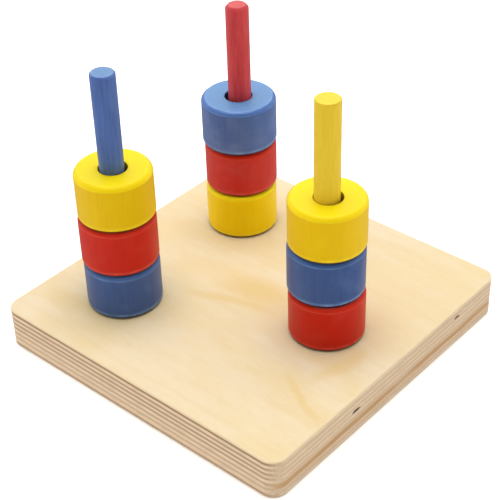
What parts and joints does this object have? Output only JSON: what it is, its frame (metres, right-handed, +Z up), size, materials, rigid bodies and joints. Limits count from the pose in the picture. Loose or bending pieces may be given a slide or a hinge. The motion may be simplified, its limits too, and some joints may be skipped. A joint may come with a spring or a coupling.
{
  "type": "colour stacking peg puzzle",
  "caption": "Square plywood board with upright painted dowels in a triangle, each holding a stack of equal painted wooden discs that lift off to be sorted by colour.",
  "frame": {"origin": "centre of the board's underside, where it rests on a table", "axes": "+Z up along the dowels, -Y towards the side with the single yellow dowel, +X to the right when seen from there"},
  "size_m": [0.14, 0.14, 0.1178],
  "materials": {
    "birch_plywood": "satin clear lacquer on birch face veneer, cross-banded plies on the edges",
    "blue_paint": "satin blue paint over turned wood, grain faintly showing",
    "red_paint": "satin red paint over turned wood, grain faintly showing",
    "yellow_paint": "satin yellow paint over turned wood, grain faintly showing"
  },
  "bodies": {
    "base": {"board": "birch_plywood", "blue_peg": "blue_paint", "red_peg": "red_paint", "yellow_peg": "yellow_paint"},
    "blue_peg_bottom_blue_disc": {"blue_peg_bottom_blue_disc": "blue_paint"},
    "blue_peg_middle_red_disc": {"blue_peg_middle_red_disc": "red_paint"},
    "blue_peg_top_yellow_disc": {"blue_peg_top_yellow_disc": "yellow_paint"},
    "red_peg_bottom_yellow_disc": {"red_peg_bottom_yellow_disc": "yellow_paint"},
    "red_peg_middle_red_disc": {"red_peg_middle_red_disc": "red_paint"},
    "red_peg_top_blue_disc": {"red_peg_top_blue_disc": "blue_paint"},
    "yellow_peg_bottom_red_disc": {"yellow_peg_bottom_red_disc": "red_paint"},
    "yellow_peg_middle_blue_disc": {"yellow_peg_middle_blue_disc": "blue_paint"},
    "yellow_peg_top_yellow_disc": {"yellow_peg_top_yellow_disc": "yellow_paint"}
  },
  "joints": [
    {"name": "blue_peg_bottom_disc_lift", "type": "slide", "parent": "base", "child": "blue_peg_bottom_blue_disc", "axis": [0, 0, 1], "range_m": [0, 0.102]},
    {"name": "blue_peg_middle_disc_lift", "type": "slide", "parent": "blue_peg_bottom_blue_disc", "child": "blue_peg_middle_red_disc", "axis": [0, 0, 1], "range_m": [0, 0.082]},
    {"name": "blue_peg_top_disc_lift", "type": "slide", "parent": "blue_peg_middle_red_disc", "child": "blue_peg_top_yellow_disc", "axis": [0, 0, 1], "range_m": [0, 0.062]},
    {"name": "red_peg_bottom_disc_lift", "type": "slide", "parent": "base", "child": "red_peg_bottom_yellow_disc", "axis": [0, 0, 1], "range_m": [0, 0.102]},
    {"name": "red_peg_middle_disc_lift", "type": "slide", "parent": "red_peg_bottom_yellow_disc", "child": "red_peg_middle_red_disc", "axis": [0, 0, 1], "range_m": [0, 0.082]},
    {"name": "red_peg_top_disc_lift", "type": "slide", "parent": "red_peg_middle_red_disc", "child": "red_peg_top_blue_disc", "axis": [0, 0, 1], "range_m": [0, 0.062]},
    {"name": "yellow_peg_bottom_disc_lift", "type": "slide", "parent": "base", "child": "yellow_peg_bottom_red_disc", "axis": [0, 0, 1], "range_m": [0, 0.102]},
    {"name": "yellow_peg_middle_disc_lift", "type": "slide", "parent": "yellow_peg_bottom_red_disc", "child": "yellow_peg_middle_blue_disc", "axis": [0, 0, 1], "range_m": [0, 0.082]},
    {"name": "yellow_peg_top_disc_lift", "type": "slide", "parent": "yellow_peg_middle_blue_disc", "child": "yellow_peg_top_yellow_disc", "axis": [0, 0, 1], "range_m": [0, 0.062]}
  ]
}
